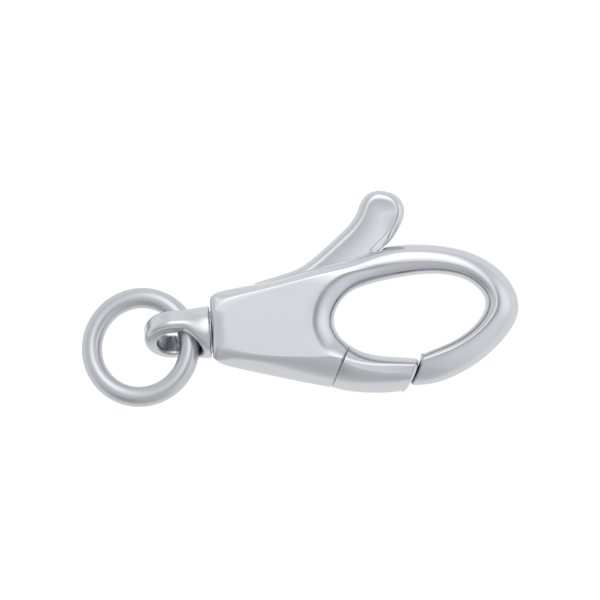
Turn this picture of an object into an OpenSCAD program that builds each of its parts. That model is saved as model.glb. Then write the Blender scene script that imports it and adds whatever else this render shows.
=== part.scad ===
// Swivel lobster clasp in polished silver, lying flat on the back cheek of its housing.
// X runs along the swivel axis from the jump ring to the nose of the hook,
// Y across the clasp towards the thumb lever, Z up through its thickness.
// The origin is on the back cheek, under the swivel axis and halfway along the cheek.
// The values below are measured from the swivel axis, the swivel seam and the middle plane.

/* [Hook] */
// Length of the hook's opening, along the clasp
open_l = 7.65; // [7:0.05:8.5]
// Width of the hook's opening, across the clasp
open_w = 4.2; // [3.8:0.05:4.6]
// Distance from the swivel seam to the opening
open_x = 6.1; // [5.9:0.05:6.6]
// Height of the opening's middle above the swivel axis
open_y = 0.2; // [0.1:0.05:0.4]
// Width of the bow, seen from the front
bow_w = 1.6; // [1.3:0.05:1.8]
// Thickness of the bow, front to back
bow_t = 1.95; // [1.7:0.05:2.4]

/* [Housing] */
// Thickness over the two cheeks
body_t = 2.9; // [2.8:0.05:3.3]
// Height of the housing's end above the swivel axis
end_up = 1.92; // [1.8:0.02:2.1]
// Depth of the housing's end below the swivel axis
end_down = 1.5; // [1.4:0.05:1.8]
// Height of the housing's back above the swivel axis, beside the bow
rise = 3.8; // [3.5:0.05:4.1]
// Depth of the gate's back below the swivel axis
drop = 3.52; // [3.42:0.05:3.82]
// Rounding of the housing's two end corners, seen from the front
end_corner = 0.35; // [0.2:0.05:0.45]
// Width over which the cheeks roll into the opening
open_lip = 1.1; // [0.8:0.05:1.2]

/* [Trigger] */
// Distance from the swivel seam to the pivot
pivot_x = 5.24; // [5.1:0.02:5.3]
// Depth of the pivot below the swivel axis
pivot_down = 0.37; // [0.3:0.01:0.45]
// Thickness of the lever and of the tongue inside the housing
lever_t = 1.1; // [0.9:0.05:1.2]
// Height of the thumb pad's top above the swivel axis
pad_up = 6.56; // [6.2:0.02:7]
// Distance from the swivel seam to the outer side of the thumb pad
pad_out = 9.93; // [9.6:0.05:10.3]
// Width of the rim round the thumb pad's sunk panel
pad_rim = 0.36; // [0.25:0.01:0.45]
// Depth of the sunk panel on each side of the lever
pad_sink = 0.12; // [0.05:0.01:0.18]
// How far the trigger turns, in degrees
swing_angle = 20; // [16:1:22]
// Gap of the seam between the housing and the gate
seam_gap = 0.1; // [0.06:0.01:0.16]
// Gap between the gate's end and the tip of the hook
tip_gap = 0.09; // [0.06:0.01:0.14]
// Running gap between the tongue and each side of its slot
slot_gap = 0.05; // [0.03:0.01:0.08]

/* [Pivot pin] */
// Diameter of the pivot pin
pin_d = 0.8; // [0.6:0.05:0.9]
// Diameter of the trigger's hub round the pin
hub_d = 1.44; // [1.3:0.02:1.5]
// Wall left over the pin's end in the front cheek
pin_cover = 0.4; // [0.35:0.05:0.5]
// How far the pin's back end stays under the back cheek
pin_sunk = 0.2; // [0.15:0.05:0.3]
// Gap round the pin in the cheeks
pin_fit = 0.01; // [0.005:0.005:0.02]
// Gap round the pin in the turning hub
hub_gap = 0.04; // [0.03:0.01:0.06]

/* [Swivel eye] */
// Diameter of the eye's collar at the housing
collar_d = 2.6; // [2.4:0.05:2.75]
// Gap of the swivel seam
swivel_gap = 0.08; // [0.05:0.01:0.12]
// Diameter of the stem inside the housing
stem_d = 1.3; // [1.1:0.05:1.4]
// Diameter of the stem's captive head
head_d = 1.7; // [1.6:0.05:1.8]
// Thickness of the captive head
head_l = 0.42; // [0.35:0.01:0.5]
// Length of the stem from the seam to its head
stem_l = 0.75; // [0.7:0.01:0.8]
// Running gap round the stem and its head
stem_gap = 0.05; // [0.03:0.01:0.08]
// Thickness of the flat eye
eye_t = 1; // [0.85:0.05:1.1]
// Width of the eye's rim
rim_w = 0.62; // [0.5:0.02:0.7]
// Width of the hole through the eye
hole_w = 1.66; // [1.62:0.01:1.75]
// Length of the hole through the eye
hole_l = 2.25; // [2.2:0.01:2.4]
// Wall between the hole and the swivel seam
eye_wall = 0.44; // [0.4:0.01:0.5]
// Turn of the eye about its axis as it lies, in degrees
eye_turn = 53; // [50:1:56]

/* [Jump ring] */
// Inner diameter of the jump ring
ring_d = 3.98; // [3.8:0.02:4.4]
// Thickness of the jump ring's wire
wire_d = 1.02; // [0.9:0.02:1.05]
// Gap between the jump ring and the end of the eye's hole
ring_gap = 0.15; // [0.12:0.01:0.2]
// Tilt of the jump ring as it lies, in degrees
ring_tilt = 14; // [12:1:16]

/* [Hidden] */
fine = 96;
silver = [0.80, 0.81, 0.83];
silver_deep = [0.70, 0.71, 0.74];

half = body_t / 2;
seat = [-open_x / 2, 0, half];
pivot = [pivot_x, -pivot_down];
bow_half = bow_t / 2;
slot_t = lever_t + 2 * slot_gap;

// The opening's outline, from the hook's tip round the nose and the top to the seam.
// Shares of the opening's length and width, measured from its middle.
// along, across
OPENING = [
    [ 0.056, -0.464],
    [ 0.122, -0.417],
    [ 0.229, -0.355],
    [ 0.330, -0.267],
    [ 0.424, -0.145],
    [ 0.484, -0.002],
    [ 0.500,  0.110],
    [ 0.487,  0.219],
    [ 0.419,  0.357],
    [ 0.319,  0.448],
    [ 0.164,  0.500],
    [-0.027,  0.481],
    [-0.186,  0.440],
    [-0.292,  0.398],
    [-0.366,  0.352],
    [-0.421,  0.281],
    [-0.469,  0.179],
    [-0.495,  0.060],
    [-0.499, -0.036],
    [-0.488, -0.110],
    [-0.461, -0.205],
    [-0.408, -0.293]
];
open_mid = [open_x + open_l / 2, open_y];
opening = [for (p = OPENING) open_mid + [p[0] * open_l, p[1] * open_w]];
seam_at = len(opening) - 1;

// The faces of the hook's tip and of the gate's end are arcs about the pivot. The tip's arc
// trims a little off the corner of its first section.
function bearing(p) = atan2(p[1], p[0]);
function toward(a) = [cos(a), sin(a)];
tip_inner = opening[0];
tip_trim = 0.015;
tip_r = norm(tip_inner - pivot) + tip_trim;
tip_tilt = 9;
tip_dir = toward(bearing(tip_inner - pivot) - tip_tilt - 90);
gate_r = tip_r - tip_gap;
tip_side = 0.75;

// The hook's band, a row for each point of the opening's outline.
// Width is a share of bow_w and thickness a share of bow_t, rolls are shares of the width,
// and walls are the upright shares of the half thickness.
// width, thickness, outer roll, outer wall, inner roll, inner wall
HOOK = [
    [1.01, 1.18, 0.52, 0.25, 0.16, 0.72],
    [1.04, 1.18, 0.55, 0.22, 0.17, 0.72],
    [1.00, 1.16, 0.60, 0.20, 0.18, 0.70],
    [0.97, 1.13, 0.62, 0.18, 0.20, 0.66],
    [0.95, 1.10, 0.62, 0.15, 0.23, 0.60],
    [1.02, 1.07, 0.60, 0.12, 0.27, 0.48],
    [1.06, 1.04, 0.58, 0.10, 0.32, 0.34],
    [0.93, 1.02, 0.56, 0.08, 0.38, 0.22],
    [0.86, 1.00, 0.54, 0.08, 0.43, 0.14],
    [0.86, 1.00, 0.53, 0.08, 0.46, 0.10],
    [0.90, 1.00, 0.52, 0.08, 0.47, 0.10],
    [1.01, 1.04, 0.50, 0.12, 0.48, 0.14],
    [0.98, 1.14, 0.46, 0.26, 0.50, 0.24]
];

// The housing, a row for each section from the bow's root over the back, round the end and
// along the belly to the seam. Outer and cheek stations are shares of open_x, swell is the
// share of the way from the end's height to the full height, and cheek is the share of the
// outer height at which the flat cheek begins. Place counts rows of the opening's outline.
// outer, swell, cheek station, cheek, place, thickness, outer wall, inner roll, inner wall
BACK = [
    [1.160, 0.700, 1.200, 0.858, 13.0, 0.88, 0.42, 0.76, 0.32],
    [0.985, 0.585, 1.030, 0.865, 14.0, 0.96, 0.42, 0.88, 0.40],
    [0.805, 0.468, 0.830, 0.862, 15.0, 1.00, 0.42, 0.96, 0.43],
    [0.560, 0.250, 0.575, 0.885, 15.8, 1.00, 0.42, 1.00, 0.43],
    [0.290, 0.144, 0.297, 0.810, 16.5, 1.00, 0.46, 1.00, 0.43],
    [0.110, 0.058, 0.140, 0.740, 17.0, 1.00, 0.60, 1.00, 0.43]
];
BELLY = [
    [0.115, 0.120, 0.150, 0.615, 19.0, 1.00, 0.45, 1.00, 0.43],
    [0.330, 0.305, 0.355, 0.626, 19.5, 1.00, 0.22, 1.00, 0.43],
    [0.590, 0.520, 0.615, 0.567, 20.0, 1.00, 0.16, 1.00, 0.43],
    [0.820, 0.700, 0.830, 0.530, 20.5, 1.00, 0.14, 0.88, 0.43]
];

// A point between the rows of a list, on a smooth curve through them.
function row_at(list, i) = list[max(0, min(len(list) - 1, i))];
function along(list, t) =
    let (i = min(len(list) - 2, floor(t)), u = t - i)
    let (a = row_at(list, i - 1), b = list[i], c = list[i + 1], d = row_at(list, i + 2))
    let (m = (i == 0 ? c - b : (c - a) / 2), n = (i == len(list) - 2 ? c - b : (d - b) / 2))
    b * (2 * pow(u, 3) - 3 * pow(u, 2) + 1) + m * (pow(u, 3) - 2 * pow(u, 2) + u)
    + c * (3 * pow(u, 2) - 2 * pow(u, 3)) + n * (pow(u, 3) - pow(u, 2));
function smooth(list, steps) =
    [for (k = [0 : (len(list) - 1) * steps]) along(list, k / steps)];

// The direction out of the opening, square to its outline.
step = 0.05;
function out_of(t) =
    let (d = along(opening, min(seam_at, t + step)) - along(opening, max(0, t - step)))
    [d[1], -d[0]] / norm(d);

// A section: outer point, outer crease, inner crease, inner point,
// half thickness, outer wall height, inner wall height.
function section(outer, crease, inner_crease, inner, h, outer_wall, inner_wall) =
    [outer[0], outer[1], crease[0], crease[1], inner_crease[0], inner_crease[1],
     inner[0], inner[1], h, outer_wall, inner_wall];
function unit(v) = v / norm(v);
function hook_dir(i) = i == 0 ? tip_dir : i == 1 ? unit(tip_dir + 2 * out_of(1)) : out_of(i);
function hook_section(i) =
    let (r = HOOK[i], n = hook_dir(i), inner = opening[i], w = r[0] * bow_w, h = r[1] * bow_half)
    section(inner + n * w, inner + n * w * (1 - r[2]), inner + n * w * r[4], inner,
            h, r[3] * h, r[5] * h);
function housing_section(r, side) =
    let (near = side > 0 ? end_up : end_down, far = side > 0 ? rise : drop)
    let (y = side * (near + r[1] * (far - near)), inner = along(opening, r[4]), h = r[5] * half)
    section([r[0] * open_x, y], [r[2] * open_x, y * r[3]],
            inner + out_of(r[4]) * open_lip * r[7], inner, h, r[6] * h, r[8] * h);

// The housing's upright end, from the upper corner to the lower one. Height is a share of
// the end's height without its rounded corner, and turn is how far round that corner.
// side, height, turn, cheek station, cheek, place
END = [
    [ 1, 1.00, 60, 0.075, 0.660, 17.4],
    [ 1, 1.00, 25, 0.045, 0.580, 17.7],
    [ 1, 1.00,  0, 0.034, 0.480, 17.9],
    [ 1, 0.12,  0, 0.033, 0.060, 18.1],
    [-1, 1.00,  0, 0.034, 0.440, 18.3],
    [-1, 1.00, 25, 0.045, 0.510, 18.5],
    [-1, 1.00, 60, 0.075, 0.570, 18.7]
];
end_wall = 0.8;
open_wall = 0.43;
function end_section(r) =
    let (reach = r[0] > 0 ? end_up : end_down)
    let (x = end_corner * (1 - cos(r[2])), y = (reach - end_corner) * r[1] + end_corner * sin(r[2]))
    let (inner = along(opening, r[5]), inner_crease = inner + out_of(r[5]) * open_lip)
    section([x, r[0] * y], [r[3] * open_x, r[0] * reach * r[4]], inner_crease, inner,
            half, end_wall * half, open_wall * half);

// The seam's two sections lie in upright planes, so that the gate meets the housing square.
seam_inner = opening[seam_at];
seam_turn = -116.5;
seam_dir = toward(seam_turn);
seam_swell = 0.785;
seam_depth = end_down + seam_swell * (drop - end_down);
// thickness, outer roll, outer wall, inner roll, inner wall
SEAM = [0.98, 0.62, 0.14, 0.32, 0.43];
function leaning(inner, dir, depth, r) =
    let (w = (depth + inner[1]) / -dir[1], h = r[0] * half)
    section(inner + dir * w, inner + dir * w * (1 - r[1]), inner + dir * w * r[3], inner,
            h, r[2] * h, r[4] * h);

body_sections = concat(
    [for (i = [0 : len(HOOK) - 1]) hook_section(i)],
    [for (r = BACK) housing_section(r, 1)],
    [for (r = END) end_section(r)],
    [for (r = BELLY) housing_section(r, -1)],
    [leaning(seam_inner, seam_dir, seam_depth, SEAM)]
);

// The gate, a row for each section from the seam to the tip. Along and across are shares of
// the opening's length and width like the outline's, and depth is a share of drop.
// along, across, depth, thickness, outer roll, outer wall, inner roll, inner wall
GATE = [
    [-0.336, -0.376, 0.938, 0.97, 0.60, 0.14, 0.28, 0.40],
    [-0.233, -0.436, 0.978, 0.95, 0.57, 0.14, 0.25, 0.36],
    [-0.129, -0.464, 0.998, 0.93, 0.54, 0.14, 0.22, 0.34],
    [-0.039, -0.483, 1.000, 0.91, 0.52, 0.14, 0.21, 0.34],
    [ 0.030, -0.500, 0.986, 0.89, 0.50, 0.14, 0.20, 0.34],
    [ 0.085, -0.515, 0.955, 0.88, 0.50, 0.14, 0.20, 0.34]
];
gate_inner = seam_inner + [-seam_dir[1], seam_dir[0]] * seam_gap;
gate_sections = concat(
    [leaning(gate_inner, seam_dir, seam_depth, SEAM)],
    [for (r = GATE) leaning(open_mid + [r[0] * open_l, r[1] * open_w], tip_dir, r[2] * drop,
                            [r[3], r[4], r[5], r[6], r[7]])]
);

// A closed ring of points round one section: up the outer wall, over the roll and the flat
// to the inner wall, then back underneath.
roll_steps = 4;
function roll_points(from, to, wall, top) =
    [for (k = [0 : roll_steps])
        let (q = 90 * k / roll_steps, p = from + (to - from) * (1 - cos(q)))
        [p[0], p[1], wall + (top - wall) * sin(q)]];
function turned_back(list) = [for (i = [len(list) - 1 : -1 : 0]) list[i]];
function ring_of(s) =
    let (h = min(half, s[8]))
    let (outer = roll_points([max(0, s[0]), s[1]], [s[2], s[3]], s[9], h))
    let (inner = roll_points([s[6], s[7]], [s[4], s[5]], s[10], h))
    let (top = concat(outer, turned_back(inner)))
    concat(top, [for (p = turned_back(top)) [p[0], p[1], -p[2]]]);

// A solid skin through a list of rings that all have the same number of points.
module skin(rings) {
    n = len(rings[0]);
    last = len(rings) - 1;
    points = [for (ring = rings) for (p = ring) p];
    sides = [for (i = [0 : last - 1]) for (j = [0 : n - 1])
        let (k = (j + 1) % n)
        each [[i * n + j, (i + 1) * n + k, (i + 1) * n + j],
              [i * n + j, i * n + k, (i + 1) * n + k]]];
    first_cap = [for (j = [n - 1 : -1 : 0]) j];
    last_cap = [for (j = [0 : n - 1]) last * n + j];
    polyhedron(points, concat(sides, [first_cap, last_cap]), convexity = 8);
}

// The tongue: the lever outside the housing and its tongue inside, seen from the front.
// Shares of pad_out along the clasp and of pad_up across it.
// along, across
LEVER_BACK = [
    [0.222, 0.350],
    [0.327, 0.389],
    [0.411, 0.422],
    [0.448, 0.442],
    [0.488, 0.473],
    [0.551, 0.540],
    [0.619, 0.622],
    [0.684, 0.704],
    [0.715, 0.747],
    [0.743, 0.797],
    [0.764, 0.849],
    [0.782, 0.909],
    [0.805, 0.960],
    [0.840, 0.992],
    [0.880, 1.000],
    [0.923, 0.988],
    [0.960, 0.962],
    [0.988, 0.916],
    [1.000, 0.860],
    [0.997, 0.799],
    [0.981, 0.739],
    [0.959, 0.684],
    [0.935, 0.636],
    [0.899, 0.584]
];
lever_steps = 3;
pad = [for (p = smooth(LEVER_BACK, lever_steps)) [p[0] * pad_out, p[1] * pad_up]];

// The edges of the tongue inside the housing run from the heel and the lever to the hub,
// and its neck runs from the hub to the gate. Each row is a distance from the pivot and a
// bearing: on the edges a share of the reach past the hub and a bearing from the end's own,
// on the neck a share of the seam's distance and a true bearing.
HEEL_EDGE = [[0.70, -4], [0.40, -6], [0.12, 2]];
LEVER_EDGE = [[0.80, 3], [0.60, 8], [0.40, 14], [0.20, 17], [0.06, 11]];
NECK_TOP = [[0.42, -12], [0.71, -32], [1.02, -31], [1.50, -45]];
NECK_LOW = [[1.35, -71], [1.05, -82], [0.55, -118], [0.42, -160]];
SLOT_NECK = [[1.70, -60], [1.20, 5], [0.90, 18]];
hub_r = hub_d / 2;
function polar(p) = [norm(p - pivot), bearing(p - pivot)];
heel = polar(pad[0]);
lever_end = polar(pad[len(pad) - 1]);
seam_across = norm(seam_inner - pivot);
function edge(rows, tip) =
    [for (r = rows) [hub_r + (tip[0] - hub_r) * r[0], tip[1] + r[1]]];
function neck(rows) = [for (r = rows) [max(hub_r, seam_across * r[0]), r[1]]];
function placed(rows, turn, grow) =
    [for (r = rows) pivot + toward(r[1] + turn) * (r[0] + grow)];

tongue = concat(
    pad,
    placed(edge(LEVER_EDGE, lever_end), 0, 0),
    placed(neck(NECK_TOP), 0, 0),
    placed(neck(NECK_LOW), 0, 0),
    placed(turned_back(edge(HEEL_EDGE, heel)), 0, 0)
);

// The slot that the tongue turns in: the tongue's own edges, opened by a gap and a turn,
// with the heel's side carried on by the whole swing.
edge_gap = 0.09;
edge_turn = 2.5;
heel_swing_angle = swing_angle + edge_turn;
heel_turn = 12;
slot_out = 1.5;
lever_turn = 30;
slot = concat(
    placed([heel], -heel_turn, edge_gap),
    [for (k = [0 : 4]) each placed([heel], heel_swing_angle * k / 4, edge_gap)],
    placed(edge(HEEL_EDGE, heel), heel_swing_angle, edge_gap),
    placed(turned_back(neck(NECK_LOW)), -edge_turn, edge_gap),
    placed(neck(SLOT_NECK), 0, 0),
    placed(turned_back(edge(LEVER_EDGE, lever_end)), -edge_turn, edge_gap),
    placed([lever_end], -edge_turn, edge_gap),
    placed([lever_end], -edge_turn, slot_out / 2),
    placed([lever_end], lever_turn, slot_out)
);

// The sunk panel on the lever, inside its rim.
// share of the reach from the pivot, bearing from the end's own
PANEL_LEVER = [0.8, 8];
PANEL_HEEL = [0.7, -48];
PANEL_ROW = 4;
function inside(end, r) = [end[0] * r[0], end[1] + r[1]];
panel = concat(
    [for (i = [PANEL_ROW * lever_steps : len(pad) - 2])
        let (d = pad[i + 1] - pad[i - 1]) pad[i] + [d[1], -d[0]] / norm(d) * pad_rim],
    placed([inside(lever_end, PANEL_LEVER), inside(heel, PANEL_HEEL)], 0, 0)
);

// The swivel's fits inside the housing's end.
pocket_d = head_d + 2 * stem_gap;
bore_d = stem_d + 2 * stem_gap;
socket_d = pin_d + 2 * pin_fit;

// The flat eye, measured in its own plane.
hole_end = -swivel_gap - eye_wall;
near_turn = hole_end - hole_w / 2;
far_turn = hole_end - hole_l + hole_w / 2;
rim_r = (hole_w + rim_w) / 2;
collar_r = collar_d / 2;
collar_l = 0.25;
cone_l = 0.5;
neck_r = 0.4 * eye_t;
hidden = 0.02;

// The jump ring passes through the middle of the hole and leans down beside the eye.
ring_r = (ring_d + wire_d) / 2;
ring_turn = 13;
wire_x = hole_end - ring_gap - wire_d / 2;
ring_slope = tan(ring_tilt) / sqrt(2);
ring_mid = [
    wire_x - ring_r * cos(ring_turn),
    -ring_r * sin(ring_turn),
    -ring_slope * ring_r * (cos(ring_turn) - sin(ring_turn))
];

// Moves a piece from the swivel axis and the middle plane to where it lies.
module seated() {
    translate(seat) children();
}

// A cylinder along the swivel axis, from one distance to another.
module along_axis(d, from, to) {
    translate([from, 0, 0]) rotate([0, 90, 0]) cylinder(d = d, h = to - from, $fn = fine);
}

// A plate of some thickness, centred on the clasp's middle plane.
module plate(t) {
    translate([0, 0, -t / 2]) linear_extrude(t) children();
}

// A cylinder about the pivot, from one height to another.
module about_pivot(d, from, to) {
    translate([pivot[0], pivot[1], from]) cylinder(d = d, h = to - from, $fn = fine);
}

module body_hook() {
    color(silver) seated() difference() {
        skin([for (s = smooth(body_sections, 2)) ring_of(s)]);
        plate(slot_t) polygon(slot);
        along_axis(bore_d, -1, stem_l);
        along_axis(pocket_d, stem_l - stem_gap, stem_l + head_l + stem_gap);
        about_pivot(socket_d, -body_t, half - pin_cover);
        intersection() {
            about_pivot(2 * tip_r, -body_t, body_t);
            translate([pivot[0] + gate_r * tip_side, -2 * drop, -body_t])
                cube([gate_r, 2 * drop + tip_inner[1] + tip_gap, 2 * body_t]);
        }
    }
}

module trigger_gate() {
    color(silver_deep) seated() difference() {
        union() {
            plate(lever_t) polygon(tongue);
            about_pivot(hub_d, -lever_t / 2, lever_t / 2);
            intersection() {
                skin([for (s = smooth(gate_sections, 2)) ring_of(s)]);
                about_pivot(2 * gate_r, -body_t, body_t);
            }
        }
        about_pivot(pin_d + 2 * hub_gap, -body_t, body_t);
        for (side = [-1, 1])
            translate([0, 0, side * lever_t / 2]) plate(2 * pad_sink) polygon(panel);
    }
}

module pivot_pin() {
    color(silver_deep) seated() about_pivot(pin_d, pin_sunk - half, half - pin_cover - pin_fit);
}

// Half of the eye's rim, turned about one end of the hole.
module rim_turn(x, start) {
    translate([x, 0, 0]) rotate([0, 0, start]) rotate_extrude(angle = 180, $fn = fine)
        translate([rim_r, 0]) rim_section();
}
module rim_section() {
    square([rim_w, eye_t - rim_w], center = true);
    for (side = [-1, 1])
        translate([0, side * (eye_t - rim_w) / 2]) circle(d = rim_w, $fn = fine);
}

module swivel_eye() {
    color(silver) seated() rotate([eye_turn, 0, 0]) {
        difference() {
            union() {
                rim_turn(far_turn, 90);
                rim_turn(near_turn, -90);
                for (side = [-1, 1])
                    translate([far_turn, side * rim_r, 0]) rotate([90, 0, 90])
                        linear_extrude(near_turn - far_turn) rim_section();
            }
            translate([-swivel_gap - collar_l / 2, -collar_d, -collar_d])
                cube([2 * collar_d, 2 * collar_d, 2 * collar_d]);
        }
        difference() {
            rotate([0, 90, 0]) rotate_extrude($fn = fine) polygon([
                [0, -swivel_gap - collar_l - cone_l],
                [neck_r, -swivel_gap - collar_l - cone_l],
                [collar_r, -swivel_gap - collar_l],
                [collar_r, -swivel_gap],
                [stem_d / 2, -swivel_gap],
                [stem_d / 2, stem_l],
                [head_d / 2, stem_l],
                [head_d / 2, stem_l + head_l],
                [0, stem_l + head_l]
            ]);
            plate(2 * collar_d) eye_hole(hole_w + hidden);
        }
    }
}
module eye_hole(width) {
    for (x = [far_turn, near_turn]) translate([x, 0]) circle(d = width, $fn = fine);
    translate([far_turn, -width / 2]) square([near_turn - far_turn, width]);
}

module jump_ring() {
    color(silver) seated() translate(ring_mid) rotate(a = ring_tilt, v = [-1, -1, 0])
        rotate_extrude($fn = fine) translate([ring_r, 0]) circle(d = wire_d, $fn = fine);
}

body_hook();
trigger_gate();
pivot_pin();
swivel_eye();
jump_ring();
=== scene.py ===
"""Swivel lobster clasp in polished silver, lying on a pale table and seen from above.

The clasp's own axes are used throughout: X along the swivel axis towards the nose of the hook,
Y across towards the thumb lever, Z up through its thickness. Shapes are worked out from the
swivel axis, the swivel seam and the middle plane, and then moved to where the clasp lies.
"""

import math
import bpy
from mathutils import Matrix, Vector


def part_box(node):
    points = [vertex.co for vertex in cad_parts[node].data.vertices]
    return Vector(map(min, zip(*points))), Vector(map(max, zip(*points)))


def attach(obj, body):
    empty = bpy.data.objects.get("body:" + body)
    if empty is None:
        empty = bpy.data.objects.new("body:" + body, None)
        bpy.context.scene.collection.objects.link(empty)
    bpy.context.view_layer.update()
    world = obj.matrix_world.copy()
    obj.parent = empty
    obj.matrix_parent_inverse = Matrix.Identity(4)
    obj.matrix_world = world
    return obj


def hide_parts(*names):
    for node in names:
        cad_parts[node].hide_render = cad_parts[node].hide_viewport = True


bl_info = {
    "name": "Swivel lobster clasp",
    "version": (1, 0, 0),
    "blender": (4, 5, 0),
    "location": "3D View > Sidebar > Clasp",
    "description": "Builds a polished silver lobster clasp with its lever, swivel eye and ring",
    "category": "Object",
}

import bmesh
import bpy
import numpy as np
from bpy.props import FloatProperty, FloatVectorProperty, PointerProperty
from bpy.types import Operator, Panel, PropertyGroup
from mathutils import Matrix, Vector

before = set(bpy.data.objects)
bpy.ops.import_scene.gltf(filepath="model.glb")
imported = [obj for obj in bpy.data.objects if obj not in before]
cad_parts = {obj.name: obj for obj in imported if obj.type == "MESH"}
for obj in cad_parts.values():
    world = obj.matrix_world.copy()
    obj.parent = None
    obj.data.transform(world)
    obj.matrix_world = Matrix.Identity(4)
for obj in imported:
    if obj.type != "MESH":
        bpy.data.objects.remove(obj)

MM = 0.001
body_low, body_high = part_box("body_hook")
CHEEKS = body_high.z - body_low.z


def length(name, description, millimetres):
    """A length that a user would change, shown in the scene's own units."""
    return FloatProperty(
        name=name, description=description, default=millimetres * MM, min=0.0, precision=5,
        unit="LENGTH",
    )


def turn(name, description, degrees):
    """An angle that a user would change."""
    return FloatProperty(
        name=name, description=description, default=math.radians(degrees), unit="ROTATION"
    )


def share(name, description, value):
    """A plain number from 0 to 1."""
    return FloatProperty(name=name, description=description, default=value, min=0.0, max=1.0)


def colour(name, description, rgb):
    """A colour, as linear red, green and blue."""
    return FloatVectorProperty(
        name=name, description=description, default=rgb, size=3, min=0.0, max=1.0, subtype="COLOR"
    )


class HousingSizes(PropertyGroup):
    """Sizes of the hook and its housing."""

    open_l: length("Opening length", "Length of the hook's opening, along the clasp", 7.65)
    open_w: length("Opening width", "Width of the hook's opening, across the clasp", 4.2)
    open_x: length("Opening start", "Distance from the swivel seam to the opening", 6.1)
    open_y: length("Opening height", "Height of the opening's middle above the swivel axis", 0.2)
    bow_w: length("Bow width", "Width of the bow, seen from the front", 1.6)
    bow_t: length("Bow thickness", "Thickness of the bow, front to back", 1.95)
    body_t: length("Housing thickness", "Thickness over the two cheeks", CHEEKS / MM)
    end_up: length("End height", "Height of the housing's end above the swivel axis", 1.92)
    end_down: length("End depth", "Depth of the housing's end below the swivel axis", 1.5)
    rise: length("Back height", "Height of the housing's back, beside the bow", 3.8)
    drop: length("Belly depth", "Depth of the gate's back below the swivel axis", 3.52)
    end_corner: length("End corner", "Rounding of the housing's end corners", 0.35)
    open_lip: length("Lip width", "Width over which the cheeks roll into the opening", 1.1)
    edge: length("Edge", "Rounding of the crisp edges at the seam", 0.055)
    tip_edge: length("Tip edge", "Rounding of the hook's tip at its end face", 0.15)


class TriggerSizes(PropertyGroup):
    """Sizes of the thumb lever, the gate and their hinge."""

    pivot_x: length("Pivot place", "Distance from the swivel seam to the pivot", 5.24)
    pivot_down: length("Pivot depth", "Depth of the pivot below the swivel axis", 0.37)
    lever_t: length("Lever thickness", "Thickness of the lever", 1.1)
    pad_up: length("Pad height", "Height of the thumb pad's top above the swivel axis", 6.56)
    pad_out: length("Pad reach", "Distance from the swivel seam to the thumb pad's side", 9.93)
    pad_rim: length("Pad rim", "Width of the rim round the sunk panel", 0.36)
    pad_sink: length("Panel depth", "Depth of the sunk panel", 0.06)
    seam_gap: length("Seam gap", "Gap between the housing and the gate", 0.03)
    tip_gap: length("Tip gap", "Gap between the gate and the tip of the hook", 0.02)
    gate_edge: length("Gate edge", "Rounding of the gate at its end face", 0.2)
    slot_gap: length("Slot gap", "Gap on each side of the lever in its slot", 0.05)
    pin_d: length("Pin", "Diameter of the pivot pin's hole", 0.82)
    hub_d: length("Hub", "Diameter of the trigger's hub round the pin", 1.44)
    swing: turn("Swing", "How far the trigger turns", 20)


class EyeSizes(PropertyGroup):
    """Sizes of the swivel eye and the jump ring."""

    collar_d: length("Collar", "Diameter of the eye's collar at the housing", 2.6)
    swivel_gap: length("Swivel gap", "Gap of the swivel seam", 0.08)
    stem_d: length("Stem", "Diameter of the stem inside the housing", 1.3)
    head_d: length("Head", "Diameter of the stem's captive head", 1.7)
    head_l: length("Head thickness", "Thickness of the captive head", 0.42)
    stem_l: length("Stem length", "Length of the stem up to its head", 0.75)
    stem_gap: length("Stem gap", "Running gap round the stem", 0.05)
    eye_t: length("Eye thickness", "Thickness of the flat eye", 1.0)
    rim_w: length("Rim width", "Width of the eye's rim", 0.62)
    hole_w: length("Hole width", "Width of the hole through the eye", 1.66)
    hole_l: length("Hole length", "Length of the hole through the eye", 2.25)
    eye_wall: length("Eye wall", "Wall between the hole and the swivel seam", 0.44)
    eye_turn: turn("Eye turn", "Turn of the eye about the swivel axis", 53)
    ring_d: length("Ring", "Inner diameter of the jump ring", 3.98)
    wire_d: length("Wire", "Thickness of the jump ring's wire", 1.02)
    ring_gap: length("Ring gap", "Gap between the ring and the end of the eye's hole", 0.15)
    ring_tilt: turn("Ring tilt", "Tilt of the jump ring as it lies", 14)
    ring_turn: turn("Ring swing", "How far the ring hangs to one side of the axis", 13)


class FinishSettings(PropertyGroup):
    """Colours and polish of the silver."""

    silver: colour("Silver", "Colour of the polished silver", (0.57, 0.585, 0.61))
    gloss: share("Polish", "Roughness of the polished silver", 0.2)
    haze: share("Haze", "How much the roughness varies", 0.03)
    worn: share("Worn polish", "Extra roughness of the eye and the ring", 0.14)
    ripple: length("Ripple", "Height of the hand polish's soft unevenness", 0.012)


class StageSettings(PropertyGroup):
    """Camera, table and light."""

    picture_w: length("Picture width", "Width of the picture at the clasp's middle", 30.0)
    camera_x: length("Camera place", "Distance of the picture's middle from the seam", 4.4848)
    camera_y: length("Camera height", "Distance of the picture's middle above the axis", 1.3441)
    camera_up: length("Camera distance", "Distance of the camera from the clasp", 250.0)
    camera_turn: turn("Camera turn", "How far the picture is turned against the clasp", -3.3)
    table: colour("Table", "Colour of the table", (0.14, 0.14, 0.14))
    table_glow: share("Table glow", "Light that the table gives off by itself", 0.93)


def sizes_of(group):
    """The values of a property group as plain numbers."""
    names = type(group).__annotations__
    return type("Sizes", (), {name: getattr(group, name) for name in names})


# Curves and lofts

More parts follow.
